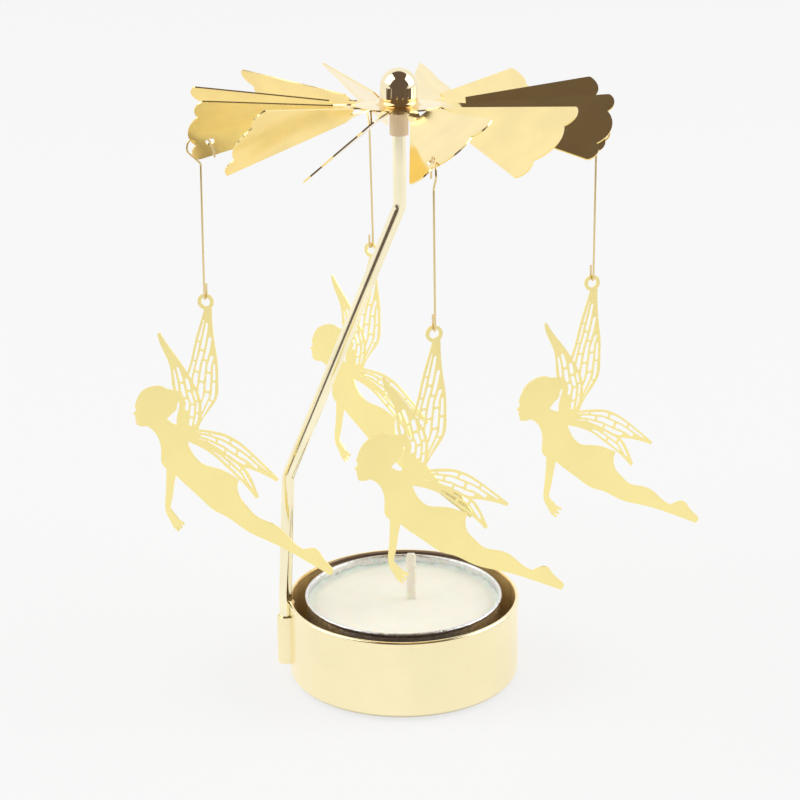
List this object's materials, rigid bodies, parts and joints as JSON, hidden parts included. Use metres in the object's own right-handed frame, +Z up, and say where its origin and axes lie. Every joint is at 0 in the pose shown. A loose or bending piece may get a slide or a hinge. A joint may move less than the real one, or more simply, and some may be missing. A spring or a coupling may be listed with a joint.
{
  "type": "candle carousel",
  "caption": "Tealight carousel: rising warm air turns a bladed fan on a needle, and flat winged figures hang from it on wire hooks.",
  "frame": {"origin": "on the cup's axis, at the height of the feet; the mount on the cup's floor lies 0.4 mm above it", "axes": "+Z up, -Y towards the front of the picture, +X to its right"},
  "size_m": [0.1095, 0.0844, 0.1221],
  "materials": {
    "gold_tin": "pressed tin with a satin pale gold lacquer",
    "gold_rod": "bright gold-plated rod",
    "grey_sleeve": "matte bead-blasted sleeve",
    "hard_steel": "ground steel",
    "turned_brass": "turned brass, bare",
    "gold_sheet": "bright gold-plated sheet with sheared edges",
    "turned_gold": "turned and gold-plated",
    "polished_gold": "mirror-polished pale gold",
    "gold_wire": "drawn wire, gold-plated",
    "etched_gold": "etched sheet with a matte champagne gold plating",
    "aluminium_foil": "thin drawn aluminium with light wrinkles",
    "ivory_wax": "smooth ivory wax",
    "cotton_wick": "flat braided cotton, waxed",
    "tin_plate": "bright tinned sheet"
  },
  "bodies": {
    "stand": {"base_cup": "gold_tin", "post": "gold_rod", "needle_collar": "grey_sleeve", "needle": "hard_steel"},
    "bearing": {"bearing_cup": "turned_brass"},
    "rotor": {"rotor_fan": "gold_sheet", "hub_ring": "turned_gold", "dome_cap": "polished_gold"},
    "tealight": {"tealight_cup": "aluminium_foil", "tealight_wax": "ivory_wax", "tealight_wick": "cotton_wick", "wick_sustainer": "tin_plate"},
    "hanger_right": {"hanger_right": "gold_wire"},
    "fairy_right": {"fairy_right": "etched_gold"},
    "hanger_back": {"hanger_back": "gold_wire"},
    "fairy_back": {"fairy_back": "etched_gold"},
    "hanger_left": {"hanger_left": "gold_wire"},
    "fairy_left": {"fairy_left": "etched_gold"},
    "hanger_front": {"hanger_front": "gold_wire"},
    "fairy_front": {"fairy_front": "etched_gold"}
  },
  "joints": [
    {"name": "fan_rock", "type": "hinge", "parent": "stand", "child": "bearing", "pos_m": [0, 0, 0.1194], "axis": [1, 0, 0], "range_deg": [-3.5, 3.5]},
    {"name": "fan_spin", "type": "hinge", "parent": "bearing", "child": "rotor", "pos_m": [0, 0, 0.1194], "axis": [0, 0.1115, 0.9938], "continuous": true},
    {"name": "tealight_lift", "type": "slide", "parent": "stand", "child": "tealight", "axis": [0, 0, 1], "range_m": [0, 0.008]},
    {"name": "hanger_right_swing", "type": "hinge", "parent": "rotor", "child": "hanger_right", "pos_m": [0.03544, 0.00313, 0.10973], "axis": [0.0879, -0.9961, 0], "range_deg": [-5, 25]},
    {"name": "fairy_right_turn", "type": "hinge", "parent": "hanger_right", "child": "fairy_right", "pos_m": [0.03624, 0.0032, 0.0792], "axis": [0, 0, 1], "range_deg": [-30, 30]},
    {"name": "hanger_back_swing", "type": "hinge", "parent": "rotor", "child": "hanger_back", "pos_m": [-0.00562, 0.03394, 0.10625], "axis": [0.9866, 0.1634, 0], "range_deg": [-5, 25]},
    {"name": "fairy_back_turn", "type": "hinge", "parent": "hanger_back", "child": "fairy_back", "pos_m": [-0.00575, 0.03472, 0.0763], "axis": [0, 0, 1], "range_deg": [-30, 30]},
    {"name": "hanger_left_swing", "type": "hinge", "parent": "rotor", "child": "hanger_left", "pos_m": [-0.03503, -0.00781, 0.11088], "axis": [-0.2176, 0.976, 0], "range_deg": [-5, 25]},
    {"name": "fairy_left_turn", "type": "hinge", "parent": "hanger_left", "child": "fairy_left", "pos_m": [-0.03616, -0.00806, 0.0799], "axis": [0, 0, 1], "range_deg": [-30, 30]},
    {"name": "hanger_front_swing", "type": "hinge", "parent": "rotor", "child": "hanger_front", "pos_m": [0.00566, -0.0361, 0.11421], "axis": [-0.9879, -0.155, 0], "range_deg": [-5, 25]},
    {"name": "fairy_front_turn", "type": "hinge", "parent": "hanger_front", "child": "fairy_front", "pos_m": [0.00579, -0.03689, 0.0831], "axis": [0, 0, 1], "range_deg": [-30, 30]}
  ]
}
